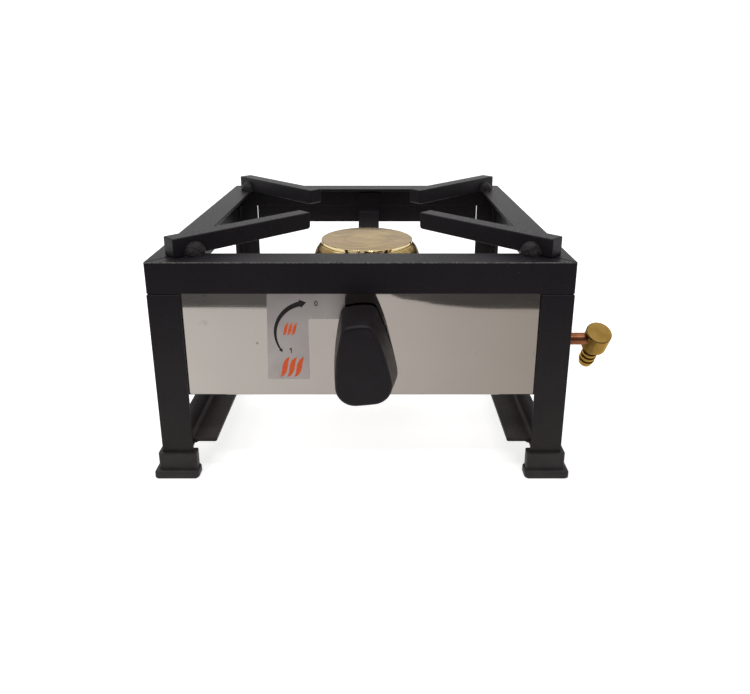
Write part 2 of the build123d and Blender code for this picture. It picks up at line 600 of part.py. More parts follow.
def knob():
    """Moulded knob, hollow behind, with a hub that takes the spindle's flatted end."""
    back_sizes = (KNOB_BACK_WIDTH, KNOB_BACK_BOTTOM, KNOB_BACK_TIP_WIDTH, KNOB_BACK_TIP_HEIGHT)
    front_sizes = (KNOB_FRONT_WIDTH, KNOB_FRONT_BOTTOM, KNOB_FRONT_TIP_WIDTH, KNOB_FRONT_TIP_HEIGHT)
    hollow_end = KNOB_FRONT + KNOB_FACE_THICKNESS
    back, front, bottom = knob_plane(KNOB_BACK), knob_plane(KNOB_FRONT), knob_plane(hollow_end)
    body = loft([back * knob_outline(*back_sizes), front * knob_outline(*front_sizes)], ruled=True)
    body = fillet(body.faces().sort_by(Axis.Y)[0].edges(), KNOB_FRONT_EDGE_RADIUS)
    hollow = loft(
        [back * knob_outline(*back_sizes, KNOB_WALL), bottom * knob_outline(*front_sizes, KNOB_WALL)],
        ruled=True,
    )
    hub_back = knob_plane(NECK_FRONT - KNOB_HUB_GAP)
    hub_length = NECK_FRONT - KNOB_HUB_GAP - hollow_end
    hub = extrude(hub_back * Circle(KNOB_HUB_RADIUS), hub_length)
    bore = extrude(hub_back * spindle_end(KNOB_FIT), hub_length)
    return body - hollow + (hub - bore)


def valve_spindle():
    """Spindle with its plug: ported across, closed at rest, and flatted where the knob fits."""
    front = KNOB_FRONT + KNOB_FACE_THICKNESS
    shoulder = NECK_FRONT - KNOB_HUB_GAP
    flatted = extrude(knob_plane(shoulder) * spindle_end(0), shoulder - front - KNOB_FIT)
    stem = along_y(shoulder, CHAMBER_FRONT + RUNNING_CLEARANCE, SPINDLE_RADIUS)
    plug = along_y(CHAMBER_FRONT + RUNNING_CLEARANCE, PLUG_REAR, PLUG_RADIUS)
    across = Pos(0, INLET_Y, VALVE_Z) * Cylinder(PORT_RADIUS, 2 * PLUG_RADIUS)
    return flatted + stem + plug - across - along_y(INLET_Y, PLUG_REAR, PORT_RADIUS)


def stove():
    """Every piece of the stove by its name."""
    pieces = {f"top_rail_{side}": turned(top_rail(), angle) for side, angle in SIDES.items()}
    for corner, angle in CORNERS.items():
        pieces[f"leg_{corner}"] = turned(leg(), angle)
        pieces[f"foot_{corner}"] = turned(foot(), angle)
        pieces[f"pot_support_{corner}"] = on_diagonal(pot_support(), corner)
    pieces["side_rail_left"] = side_rail()
    pieces["side_rail_right"] = turned(side_rail(), 180)
    pieces["rear_cross_strip"] = cross_strip()
    pieces["left_cross_strip"] = turned(cross_strip(), 90)
    pieces["right_cross_strip"] = turned(cross_strip(), 270)
    pieces["weld_beads"] = weld_beads()
    pieces["front_panel"] = front_panel()
    about_burner = {
        "burner_bracket": burner_bracket(),
        "burner_bolt": burner_bolt(),
        "burner_body": burner_body(),
        "burner_cap": burner_cap(),
        "valve_body": valve_body(),
        "valve_lock_nut": valve_lock_nut(),
        "valve_spindle": valve_spindle(),
        "injector": injector(),
        "inlet_pipe": inlet_pipe(),
        "pipe_nut": pipe_nut(),
        "hose_elbow": hose_elbow(),
        "knob": knob(),
    }
    for name, piece in about_burner.items():
        pieces[name] = Pos(BURNER_OFFSET, 0, 0) * piece
    return pieces


os.makedirs("parts", exist_ok=True)
for name, piece in stove().items():
    export_step(piece, f"parts/{name}.step")
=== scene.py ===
import json
import math
import bmesh
import bpy
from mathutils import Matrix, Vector

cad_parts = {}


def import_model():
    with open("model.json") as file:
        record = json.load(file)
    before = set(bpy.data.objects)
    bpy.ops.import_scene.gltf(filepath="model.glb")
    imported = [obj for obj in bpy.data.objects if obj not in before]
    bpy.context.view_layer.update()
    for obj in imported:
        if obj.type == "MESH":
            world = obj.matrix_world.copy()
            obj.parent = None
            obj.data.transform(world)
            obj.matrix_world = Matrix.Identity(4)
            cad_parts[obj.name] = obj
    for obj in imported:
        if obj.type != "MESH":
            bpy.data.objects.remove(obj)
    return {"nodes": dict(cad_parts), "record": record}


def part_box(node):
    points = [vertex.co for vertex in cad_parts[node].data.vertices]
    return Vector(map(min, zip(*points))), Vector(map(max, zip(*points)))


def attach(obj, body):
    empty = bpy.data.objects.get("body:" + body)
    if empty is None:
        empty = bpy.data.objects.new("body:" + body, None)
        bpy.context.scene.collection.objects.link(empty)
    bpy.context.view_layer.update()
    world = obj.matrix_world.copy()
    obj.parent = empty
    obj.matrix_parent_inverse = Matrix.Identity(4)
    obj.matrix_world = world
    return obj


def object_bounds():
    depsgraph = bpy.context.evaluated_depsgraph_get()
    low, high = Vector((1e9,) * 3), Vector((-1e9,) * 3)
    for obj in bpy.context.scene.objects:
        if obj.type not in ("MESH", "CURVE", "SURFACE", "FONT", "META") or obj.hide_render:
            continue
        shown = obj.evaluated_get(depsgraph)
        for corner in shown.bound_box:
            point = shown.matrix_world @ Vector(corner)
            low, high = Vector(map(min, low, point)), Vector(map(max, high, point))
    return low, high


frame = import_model()
CAD_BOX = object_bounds()

# A floor-standing gas stove, dressed round its solids. Metres; X right, Y to the back, Z up.

MM = 0.001

# Camera of the photograph, in its own pixels
PHOTO_WIDTH = 750
PHOTO_HEIGHT = 694
FOCAL_PIXELS = 625.8
PRINCIPAL_X = 377.0
PRINCIPAL_Y = 249.6
CAMERA_PLACE = (0.0124, -0.6083, 0.3206)
CAMERA_PITCH = 15.97  # degrees below level
SENSOR_WIDTH = 36.0  # millimetres
CLIP_START = 10 * MM

# Places taken from the frame
PANEL_LOW, PANEL_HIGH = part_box("front_panel")
RING_LOW, RING_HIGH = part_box("top_rail_front")
CAP_LOW, CAP_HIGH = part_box("burner_cap")
RAIL_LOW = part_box("side_rail_left")[0]
LEG_LOW, LEG_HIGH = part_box("leg_front_left")
ELBOW_LOW, ELBOW_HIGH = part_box("hose_elbow")
CAP_CENTRE = (CAP_LOW + CAP_HIGH) / 2
CAP_RADIUS = CAP_HIGH.x - CAP_CENTRE.x
CAP_RIM = 3.8 * MM  # cap's top down to the groove's foot
RIM_FOOT = CAP_HIGH.z - CAP_RIM
NOZZLE_SHARE = 0.36  # of the elbow's height, from its foot
NOZZLE_TOP = ELBOW_LOW.z + NOZZLE_SHARE * (ELBOW_HIGH.z - ELBOW_LOW.z)

# Colours, as shares of red, green and blue; a pair is a dark and a light shade
PAINT_SHADES = (0.0104, 0.0086, 0.0108), (0.0140, 0.0118, 0.0144)
PAINT_SPECKS = (0.07, 0.068, 0.064)
DUST = (0.058, 0.047, 0.043)
# Welds paler, partly dust and partly painted light
WELD_DUST_AND_LIGHT = (0.023, 0.021, 0.021)
# Painted highlight along the ring's front top edge
EDGE_HIGHLIGHT_COLOUR = (0.155, 0.148, 0.142)
# The sheet's colour with painted shade, darker from left to right
SHEET_SHADED_LEFT = (0.356, 0.330, 0.305)
SHEET_SHADED_MIDDLE = (0.288, 0.258, 0.236)
SHEET_SHADED_RIGHT = (0.212, 0.184, 0.160)
SHEET_SMUDGE = (0.20, 0.187, 0.178)
SHEET_SPOTS = (0.10, 0.092, 0.088)
SHEET_REAR_SHADES = (0.50, 0.475, 0.445), (0.60, 0.575, 0.545)
FOOT_SHADES = (0.024, 0.0215, 0.021), (0.033, 0.030, 0.0295)
KNOB_SHADES = (0.0088, 0.0068, 0.0086), (0.0122, 0.0098, 0.0118)
CAP_DARK = (0.205, 0.130, 0.034)
CAP_GOLD = (0.315, 0.212, 0.068)
CAP_LIGHT = (0.44, 0.315, 0.112)
CAP_WARM = (0.315, 0.190, 0.082)
CAP_PAINTED_RING = (0.78, 0.74, 0.74)  # painted reflection: a duller ring round the brighter middle of the cap's top
# Painted highlight on the cap's rim
CAP_RIM_PAINTED_HIGHLIGHT = (0.68, 0.56, 0.32)
CAP_EDGE = (1.0, 0.947, 0.88)  # tint at a grazing angle
BRASS_SHADES = (0.205, 0.125, 0.030), (0.275, 0.174, 0.051)
BRASS_EDGE = (1.0, 0.82, 0.52)
COPPER_SHADES = (0.158, 0.060, 0.028), (0.240, 0.100, 0.055)
COPPER_EDGE = (1.0, 0.72, 0.58)
PLATED_SHADES = (0.36, 0.36, 0.34), (0.52, 0.51, 0.48)
PLATED_EDGE = (1.0, 1.0, 0.96)
# Darker where a surface faces down
DOWNWARD_DARKENING = (0.90, 0.86, 0.84)
IRON_SHADES = (0.030, 0.029, 0.028), (0.055, 0.053, 0.050)
RUST = (0.11, 0.055, 0.03)
FILM_SHADES = (0.262, 0.236, 0.228), (0.310, 0.283, 0.273)
DARK_INK_SHADES = (0.010, 0.008, 0.008), (0.020, 0.016, 0.016)
RED_INK_SHADES = (0.78, 0.110, 0.034), (0.90, 0.155, 0.048)
FLOOR_COLOUR = (0.78, 0.77, 0.76)
ROOM_COLOUR = (0.222, 0.224, 0.228)
WALL_COLOUR = (0.30, 0.29, 0.285)

# Finish
PAINT_IOR = 1.21
FOOT_IOR = 1.3
KNOB_IOR = 1.23
INK_IOR = 1.25
FILM_METALLIC = 0.85
DUST_FULL = 20 * MM  # height below which dust lies thickest
DUST_NONE = 150 * MM
EDGE_HIGHLIGHT_HALF_WIDTH = 0.5 * MM  # half the width of the painted highlight line on the ring's front edge
FLANK_ROUGHNESS = 0.30  # of the cap below its rim
CAP_ROUGHNESS = 0.09
NOZZLE_SMOOTHNESS = 0.45  # the nozzle's roughness, as a share of the elbow's
NOISE_LOW, NOISE_HIGH = 0.3, 0.7  # where most of a noise's values lie


# Shader helpers


def shader(name):
    """A new node material, with its tree and its Principled shader."""
    made = bpy.data.materials.new(name)
    made.use_nodes = True
    return made, made.node_tree, made.node_tree.nodes["Principled BSDF"]


def node(tree, kind, inputs=None, **settings):
    """A node of a kind, with settings by name and inputs by socket name."""
    made = tree.nodes.new("ShaderNode" + kind)
    for key, value in settings.items():
        setattr(made, key, value)
    for key, value in (inputs or {}).items():
        made.inputs[key].default_value = value
    return made


def link(tree, source, target):
    """A wire from an output to an input."""
    tree.links.new(source, target)


def position(tree, scale=(1, 1, 1), centre=(0, 0, 0)):
    """Object coordinates, stretched about a centre."""
    place = node(tree, "TexCoord").outputs["Object"]
    offset = [-stretch * middle for stretch, middle in zip(scale, centre)]
    mapping = node(tree, "Mapping", {"Scale": scale, "Location": offset})
    link(tree, place, mapping.inputs["Vector"])
    return mapping.outputs["Vector"]


def noise_field(tree, scale, detail=3, roughness=0.55, vector=None):
    """A noise value from 0 to 1 by place; the scale is in waves a metre."""
    made = node(tree, "TexNoise", {"Scale": scale, "Detail": detail, "Roughness": roughness})
    link(tree, vector or position(tree), made.inputs["Vector"])
    return made.outputs["Fac"]


def grey(share):
    """A neutral colour."""
    return share, share, share


def ramp(tree, value, stops):
    """A colour from a value, by stops of place and colour."""
    made = node(tree, "ValToRGB")
    elements = made.color_ramp.elements
    while len(elements) < len(stops):
        elements.new(0.5)
    for element, (place, colour) in zip(elements, stops):
        element.position = place
        element.color = (*colour, 1)
    link(tree, value, made.inputs["Fac"])
    return made.outputs["Color"]


def mottle(tree, scale, shades, detail=3, roughness=0.55):
    """A colour that wavers between a dark and a light shade."""
    dark, light = shades
    noise = noise_field(tree, scale, detail, roughness)
    return ramp(tree, noise, [(NOISE_LOW, dark), (NOISE_HIGH, light)])


def place_along(tree, axis):
    """A point's place along an axis, in metres."""
    made = node(tree, "SeparateXYZ")
    link(tree, position(tree), made.inputs[0])
    return made.outputs[axis]


def facing(tree, axis):
    """How far a surface faces along an axis, from -1 to 1."""
    made = node(tree, "SeparateXYZ")
    link(tree, node(tree, "NewGeometry").outputs["Normal"], made.inputs[0])
    return made.outputs[axis]


def product(tree, first, second):
    """Two values multiplied."""
    made = node(tree, "Math", operation="MULTIPLY")
    link(tree, first, made.inputs[0])
    link(tree, second, made.inputs[1])
    return made.outputs[0]


def spread(tree, value, low, high, start=NOISE_LOW, end=NOISE_HIGH):
    """A value spread from a range, start to end, to another, low to high."""
    limits = {"From Min": start, "From Max": end, "To Min": low, "To Max": high}
    made = node(tree, "MapRange", limits)
    link(tree, value, made.inputs["Value"])
    return made.outputs["Result"]


def mixed(tree, factor, first, second, blend="MIX"):
    """Two colours mixed by a factor."""
    made = node(tree, "Mix", data_type="RGBA", blend_type=blend)
    for socket, value in ((made.inputs[0], factor), (made.inputs[6], first), (made.inputs[7], second)):
        if isinstance(value, bpy.types.NodeSocket):
            link(tree, value, socket)
        else:
            socket.default_value = value if isinstance(value, float) else (*value, 1)
    return made.outputs[2]


def tinted(tree, first, second):
    """Two colours multiplied."""
    return mixed(tree, 1.0, first, second, "MULTIPLY")


def coloured(tree, surface, colour):
    """The shader takes its colour from a node."""
    link(tree, colour, surface.inputs["Base Color"])


def uneven_gloss(tree, surface, scale, limits, detail=3, roughness=0.55):
    """The shader's roughness wavers between two limits."""
    noise = noise_field(tree, scale, detail, roughness)
    link(tree, spread(tree, noise, *limits), surface.inputs["Roughness"])


def bump(tree, surface, height, strength, distance, onto=None):
    """A bump that rises by a distance in metres where its value is 1, over another bump where given."""
    made = node(tree, "Bump", {"Strength": strength, "Distance": distance})
    link(tree, height, made.inputs["Height"])
    if onto:
        link(tree, onto, made.inputs["Normal"])
    link(tree, made.outputs["Normal"], surface.inputs["Normal"])
    return made.outputs["Normal"]


# Materials


def black_paint():
    """Powder coat: near black, finely grained, dusty near the floor, with a painted highlight along the
    ring's front top edge, and paler on welds, partly from dust and partly from painted light.
    """
    made, tree, surface = shader("black_paint")
    surface.inputs["IOR"].default_value = PAINT_IOR
    clouds = mottle(tree, 14, PAINT_SHADES, detail=4)
    flecks = mottle(tree, 800, (grey(0.62), grey(1.3)), detail=2, roughness=0.7)
    shade = tinted(tree, clouds, flecks)
    low = spread(tree, place_along(tree, "Z"), 1, 0, DUST_FULL, DUST_NONE)
    settled = spread(tree, facing(tree, "Z"), 0.5, 1, start=0.2, end=0.8)
    patches = spread(tree, noise_field(tree, 30, detail=5, roughness=0.65), 0.35, 0.75)
    dust = product(tree, product(tree, low, settled), patches)
    dusty = mixed(tree, dust, shade, DUST)
    # Weld beads paler: partly dust, partly painted light
    welded = node(tree, "ObjectInfo").outputs["Object Index"]
    welds_dusty_and_lit = mixed(tree, welded, dusty, WELD_DUST_AND_LIGHT)
    specks = spread(tree, noise_field(tree, 420, detail=1), 0, 1, start=0.80, end=0.84)
    speckled = mixed(tree, specks, welds_dusty_and_lit, PAINT_SPECKS)
    # Painted highlight: a lighter, broken line along the ring's front top edge
    ring_top, ring_front = RING_HIGH.z, RING_LOW.y
    on_top = spread(tree, place_along(tree, "Z"), 0, 1, ring_top - 2 * EDGE_HIGHLIGHT_HALF_WIDTH, ring_top - EDGE_HIGHLIGHT_HALF_WIDTH)
    in_front = spread(tree, place_along(tree, "Y"), 1, 0, ring_front + EDGE_HIGHLIGHT_HALF_WIDTH, ring_front + 2 * EDGE_HIGHLIGHT_HALF_WIDTH)
    highlight_breakup = spread(tree, noise_field(tree, 500, roughness=0.7), 0.2, 1, start=0.4, end=0.65)
    painted_edge_highlight = product(tree, product(tree, on_top, in_front), highlight_breakup)
    coloured(tree, surface, mixed(tree, painted_edge_highlight, speckled, EDGE_HIGHLIGHT_COLOUR))
    uneven_gloss(tree, surface, 700, (0.32, 0.54), detail=4, roughness=0.7)
    grain = bump(tree, surface, noise_field(tree, 1500, detail=2), strength=0.45, distance=0.12 * MM)
    peel = bump(tree, surface, noise_field(tree, 420), strength=0.25, distance=0.3 * MM, onto=grain)
    lumps = product(tree, welded, noise_field(tree, 210, roughness=0.6))
    bump(tree, surface, lumps, strength=0.9, distance=4 * MM, onto=peel)
    return made


def stainless():
    """Bright rolled sheet with painted shade, darker towards the right and towards the top: uneven, with
    faint rolling lines, smudges and spots, and a clouded rear.
    """
    made, tree, surface = shader("stainless")
    surface.inputs["Metallic"].default_value = 1.0
    # Painted shade: darker towards the right and towards the top
    across = spread(tree, place_along(tree, "X"), 0, 1, PANEL_LOW.x, PANEL_HIGH.x)
    sheet_painted_shade = ramp(tree, across, [(0, SHEET_SHADED_LEFT), (0.6, SHEET_SHADED_MIDDLE), (1, SHEET_SHADED_RIGHT)])
    cloud = mottle(tree, 9, (grey(0.93), grey(1.0)))
    low = spread(tree, place_along(tree, "Z"), 0, 1, PANEL_HIGH.z, PANEL_LOW.z)
    painted_top_shade = ramp(tree, low, [(0, grey(0.93)), (1, grey(1.0))])
    tint = tinted(tree, tinted(tree, sheet_painted_shade, cloud), painted_top_shade)
    smudge = spread(tree, noise_field(tree, 70, detail=5, roughness=0.7), 0, 0.6, start=0.64, end=0.76)
    smeared = mixed(tree, smudge, tint, SHEET_SMUDGE)
    spots = spread(tree, noise_field(tree, 130, detail=1), 0, 0.7, start=0.81, end=0.85)
    spotted = mixed(tree, spots, smeared, SHEET_SPOTS)
    behind = spread(tree, facing(tree, "Y"), 0, 1, start=0.4, end=0.6)
    rear = mottle(tree, 20, SHEET_REAR_SHADES, detail=4)
    coloured(tree, surface, mixed(tree, behind, spotted, rear))
    rolling = position(tree, scale=(18, 18, 1400))
    lines = noise_field(tree, 1, roughness=0.6, vector=rolling)
    link(tree, spread(tree, lines, 0.025, 0.06), surface.inputs["Roughness"])
    bump(tree, surface, noise_field(tree, 12, detail=2), strength=0.12, distance=0.5 * MM)
    return made


def moulded_plastic(name, shades, ior, roughness, grain):
    """Moulded plastic: slightly mottled, with a fine spark-eroded grain."""
    made, tree, surface = shader(name)
    surface.inputs["IOR"].default_value = ior
    coloured(tree, surface, mottle(tree, 90, shades, detail=4))
    uneven_gloss(tree, surface, 140, roughness)
    bump(tree, surface, noise_field(tree, grain), strength=0.4, distance=0.12 * MM)
    return made


def turned_metal(name, shades, edge, roughness, blotch):
    """Brass, copper or plating: blotched, darker where it faces down, and smoother on the nozzle."""
    made, tree, surface = shader(name)
    surface.inputs["Metallic"].default_value = 1.0
    surface.inputs["Specular Tint"].default_value = (*edge, 1)
    dark, light = shades
    blotches = noise_field(tree, blotch, detail=2, roughness=0.6)
    tint = ramp(tree, blotches, [(0.32, dark), (0.68, light)])
    # Darker where the surface faces down
    downward_darkening = ramp(tree, facing(tree, "Z"), [(0, DOWNWARD_DARKENING), (0.5, grey(1.0))])
    coloured(tree, surface, tinted(tree, tint, downward_darkening))
    uneven = spread(tree, noise_field(tree, 3 * blotch, detail=4), *roughness)
    height = place_along(tree, "Z")
    smoother = spread(tree, height, NOZZLE_SMOOTHNESS, 1, NOZZLE_TOP - MM, NOZZLE_TOP + MM)
    link(tree, product(tree, uneven, smoother), surface.inputs["Roughness"])
    bump(tree, surface, noise_field(tree, 900), strength=0.12, distance=0.08 * MM)
    return made


def cap_brass():
    """Polished brass: streaked top with turning marks, scratches and a painted reflection in rings, a
    painted highlight on the rim and a duller flank.
    """
    made, tree, surface = shader("brass_polished")
    surface.inputs["Metallic"].default_value = 1.0
    surface.inputs["Specular Tint"].default_value = (*CAP_EDGE, 1)
    streaked = position(tree, scale=(40, 110, 60))
    streaks = noise_field(tree, 1, detail=5, roughness=0.7, vector=streaked)
    gold = ramp(tree, streaks, [(0.36, CAP_DARK), (0.5, CAP_GOLD), (0.66, CAP_LIGHT)])
    warm = spread(tree, noise_field(tree, 38), 0, 0.8, start=0.48, end=0.66)
    mottled = mixed(tree, warm, gold, CAP_WARM)
    from_axis = node(tree, "VectorMath", operation="LENGTH")
    link(tree, position(tree, (1, 1, 0), CAP_CENTRE), from_axis.inputs[0])
    outwards = spread(tree, from_axis.outputs["Value"], 0, 1, 0, CAP_RADIUS)
    # Painted reflection: the middle of the top brighter, ringed by a duller band
    plain, bright = grey(0.92), grey(1.0)
    rings = [(0.0, bright), (0.36, bright), (0.42, CAP_PAINTED_RING), (0.47, plain), (1.0, plain)]
    disc = tinted(tree, mottled, ramp(tree, outwards, rings))
    # Painted highlight: the rim's upright face lighter
    above = spread(tree, place_along(tree, "Z"), 0, 1, RIM_FOOT - MM, RIM_FOOT)
    upright = spread(tree, facing(tree, "Z"), 1, 0, start=0.6, end=0.9)
    rim = product(tree, above, upright)
    coloured(tree, surface, mixed(tree, rim, disc, CAP_RIM_PAINTED_HIGHLIGHT))
    height = place_along(tree, "Z")
    polish = spread(tree, height, FLANK_ROUGHNESS, CAP_ROUGHNESS, RIM_FOOT - MM, RIM_FOOT)
    link(tree, polish, surface.inputs["Roughness"])
    waves = node(tree, "TexWave", {"Scale": 500, "Distortion": 1.5, "Detail": 2})
    waves.wave_type = "RINGS"
    waves.rings_direction = "Z"
    link(tree, position(tree, centre=CAP_CENTRE), waves.inputs["Vector"])
    turning = bump(tree, surface, waves.outputs["Fac"], strength=0.05, distance=0.04 * MM)
    scratched = position(tree, scale=(60, 700, 60))
    scratches = noise_field(tree, 1, detail=4, roughness=0.75, vector=scratched)
    bump(tree, surface, scratches, strength=0.06, distance=0.1 * MM, onto=turning)
    return made


def cast_iron():
    """Sand-cast iron, coarse and dull, with traces of rust."""
    made, tree, surface = shader("cast_iron")
    rust = spread(tree, noise_field(tree, 55, detail=5), 0, 0.5, start=0.6, end=0.8)
    shade = mottle(tree, 200, IRON_SHADES, detail=4)
    coloured(tree, surface, mixed(tree, rust, shade, RUST))
    uneven_gloss(tree, surface, 150, (0.6, 0.85))
    bump(tree, surface, noise_field(tree, 700, detail=4), strength=0.6, distance=0.4 * MM)
    return made


def sticker_film():
    """Satin metallised film."""
    made, tree, surface = shader("sticker_film")
    surface.inputs["Metallic"].default_value = FILM_METALLIC
    coloured(tree, surface, mottle(tree, 25, FILM_SHADES))
    uneven_gloss(tree, surface, 60, (0.26, 0.36))
    bump(tree, surface, noise_field(tree, 60, detail=2), strength=0.1, distance=0.2 * MM)
    return made


def ink(name, shades):
    """Printing ink with a slightly uneven cover."""
    made, tree, surface = shader(name)
    surface.inputs["IOR"].default_value = INK_IOR
    coloured(tree, surface, mottle(tree, 400, shades))
    uneven_gloss(tree, surface, 300, (0.4, 0.55), detail=2)
    return made


SURFACES = {
    "black_paint": black_paint(),
    "stainless": stainless(),
    "foot_plastic": moulded_plastic(
        "foot_plastic", FOOT_SHADES, FOOT_IOR, roughness=(0.5, 0.62), grain=1100
    ),
    "knob_plastic": moulded_plastic(
        "knob_plastic", KNOB_SHADES, KNOB_IOR, roughness=(0.32, 0.42), grain=1700
    ),
    "brass_polished": cap_brass(),
    "brass_satin": turned_metal(
        "brass_satin", BRASS_SHADES, BRASS_EDGE, roughness=(0.29, 0.39), blotch=70
    ),
    "copper": turned_metal(
        "copper", COPPER_SHADES, COPPER_EDGE, roughness=(0.26, 0.36), blotch=90
    ),
    "cast_iron": cast_iron(),
    "plated_steel": turned_metal(
        "plated_steel", PLATED_SHADES, PLATED_EDGE, roughness=(0.28, 0.42), blotch=120
    ),
}
FILM = sticker_film()
DARK_INK = ink("dark_ink", DARK_INK_SHADES)
RED_INK = ink("red_ink", RED_INK_SHADES)

# Each solid takes the surface of its slot; the paint is paler, partly dust and partly painted light, and
# lumpy on a solid of index 1
SLOT_OF = {part["node"]: part["material_slot"] for part in frame["record"]["subparts"]}
for name, solid in frame["nodes"].items():
    solid.data.materials.clear()
    solid.data.materials.append(SURFACES[SLOT_OF[name]])
    solid.pass_index = 1 if name == "weld_beads" else 0


# Meshes

CORNER_STEPS = 5


def placed(name, mesh):
    """A finished mesh as an object in the scene."""
    data = bpy.data.meshes.new(name)
    mesh.to_mesh(data)
    mesh.free()
    made = bpy.data.objects.new(name, data)
    bpy.context.scene.collection.objects.link(made)
    return made


def piece(name, mesh, material, body="frame"):
    """A finished mesh as a piece that moves with a body."""
    bmesh.ops.recalc_face_normals(mesh, faces=mesh.faces)
    made = placed(name, mesh)
    made.data.materials.append(material)
    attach(made, body)


def solid_sheet(mesh, outline, back, thickness):
    """A flat sheet of an outline in X and Z, standing off a plane of constant Y towards the front."""
    loops = [[mesh.verts.new((x, y, z)) for x, z in outline] for y in (back, back - thickness)]
    for loop in loops:
        mesh.faces.new(loop)
    rear, front = loops
    for near in range(len(outline)):
        far = (near + 1) % len(outline)
        mesh.faces.new((rear[near], rear[far], front[far], front[near]))


def solid_stroke(mesh, line, widths, back, thickness, closed=False):
    """A flat stroke along a line in X and Z, with a width at each point, standing off a plane."""
    stations = []
    count = len(line)
    planes = (back, back - thickness)
    for number, (x, z) in enumerate(line):
        before = line[(number - 1) % count] if closed else line[max(number - 1, 0)]
        after = line[(number + 1) % count] if closed else line[min(number + 1, count - 1)]
        along = Vector((after[0] - before[0], after[1] - before[1])).normalized()
        half = widths[number] / 2
        sides = [(x - along.y * half, z + along.x * half), (x + along.y * half, z - along.x * half)]
        stations.append([mesh.verts.new((side_x, y, side_z)) for y in planes for side_x, side_z in sides])
    pairs = list(zip(stations, stations[1:]))
    if closed:
        pairs.append((stations[-1], stations[0]))
    for near, far in pairs:
        for first, second in ((0, 1), (1, 3), (3, 2), (2, 0)):
            mesh.faces.new((near[first], near[second], far[second], far[first]))
    if not closed:
        for end in (stations[0], stations[-1]):
            mesh.faces.new((end[0], end[1], end[3], end[2]))


def rounded(points, radius):
    """A closed outline with each corner rounded."""
    outline = []
    for number, point in enumerate(points):
        corner = Vector(point)
        before = (Vector(points[number - 1]) - corner).normalized()
        after = (Vector(points[(number + 1) % len(points)]) - corner).normalized()
        start = corner + before * radius
        end = corner + after * radius
        for step in range(CORNER_STEPS + 1):
            share = step / CORNER_STEPS
            bend = start * (1 - share) ** 2 + corner * 2 * share * (1 - share) + end * share**2
            outline.append((bend.x, bend.y))
    return outline


# Control sticker on the panel, left of the knob: film, turning arrow, heat marks and two numerals

FILM_LEFT = -71.7 * MM  # at its top
FILM_RIGHT = -40.6 * MM
FILM_LEAN = 2.2 * MM  # its left edge runs outwards towards the bottom
FILM_BOTTOM = 85.4 * MM
FILM_TOP_GAP = 0.2 * MM  # to the ring above
FILM_STRIP_RIGHT = -12.0 * MM
FILM_STRIP_BOTTOM = 136.6 * MM
FILM_CORNER = 1.6 * MM
FILM_THICKNESS = 0.12 * MM
FILM_FRONT = PANEL_LOW.y - FILM_THICKNESS
INK_THICKNESS = 0.05 * MM
HAIRLINE = 0.06 * MM
ARROW_CENTRE = (-41.1 * MM, 124.3 * MM)
ARROW_RADIUS = 25.4 * MM
ARROW_START, ARROW_END = 211.0, 103.0  # degrees, from the open mark round to the closed one
ARROW_WIDTHS = (1.3 * MM, 4.1 * MM)
ARROW_TAIL_HEAD = (2.8 * MM, 3.2 * MM)  # length and width
ARROW_MAIN_HEAD = (5.2 * MM, 7.0 * MM)
ARROW_STEPS = 36
HEAT_MARKS = {"small": ((-54.9 * MM, 128.2 * MM), 0.6), "large": ((-54.4 * MM, 95.9 * MM), 1.0)}
HEAT_HEIGHT = 17.2 * MM
HEAT_SWAY = 8.2 * MM  # tip to tip, sideways
HEAT_STRAIGHT = 0.35  # share of the sway that is even; the rest curls the tips
HEAT_WIDTH = 4.1 * MM
HEAT_TAPER = 0.7  # lower is blunter
HEAT_PITCH = 5.6 * MM
HEAT_STROKES = 3
HEAT_STEPS = 20
NUMERAL_HEIGHT = 4.4 * MM
NUMERAL_WIDTH = 2.6 * MM
NUMERAL_STROKE = 0.7 * MM
NUMERAL_STEPS = 36
CLOSED_NUMERAL = (-34.3 * MM, 149.4 * MM)
OPEN_NUMERAL = (-54.6 * MM, 110.2 * MM)


def film():
    """The sticker's film: a tall field with a strip towards the knob."""
    top = RING_LOW.z - FILM_TOP_GAP
    points = [
        (FILM_LEFT - FILM_LEAN, FILM_BOTTOM),
        (FILM_RIGHT, FILM_BOTTOM),
        (FILM_RIGHT, FILM_STRIP_BOTTOM),
        (FILM_STRIP_RIGHT, FILM_STRIP_BOTTOM),
        (FILM_STRIP_RIGHT, top),
        (FILM_LEFT, top),
    ]
    mesh = bmesh.new()
    solid_sheet(mesh, rounded(points, FILM_CORNER), PANEL_LOW.y, FILM_THICKNESS)
    piece("sticker_film", mesh, FILM)


def on_arrow(degrees, aside=0):
    """A point on the arrow's circle, or beside it along the circle's tangent."""
    turn = math.radians(degrees)
    x = ARROW_CENTRE[0] + ARROW_RADIUS * math.cos(turn) + aside * math.sin(turn)
    z = ARROW_CENTRE[1] + ARROW_RADIUS * math.sin(turn) - aside * math.cos(turn)
    return x, z


def arrow():
    """Turning arrow, thin at its open end and thick at its closed end, with a head on both."""
    thin, thick = ARROW_WIDTHS
    tail_length, tail_width = ARROW_TAIL_HEAD
    head_length, head_width = ARROW_MAIN_HEAD
    line = [on_arrow(ARROW_START, -tail_length), on_arrow(ARROW_START, -HAIRLINE)]
    widths = [HAIRLINE, tail_width]
    for step in range(ARROW_STEPS + 1):
        share = step / ARROW_STEPS
        line.append(on_arrow(ARROW_START + (ARROW_END - ARROW_START) * share))
        widths.append(thin + (thick - thin) * share)
    line += [on_arrow(ARROW_END, HAIRLINE), on_arrow(ARROW_END, head_length)]
    widths += [head_width, HAIRLINE]
    mesh = bmesh.new()
    solid_stroke(mesh, line, widths, FILM_FRONT, INK_THICKNESS)
    piece("turning_arrow", mesh, DARK_INK)


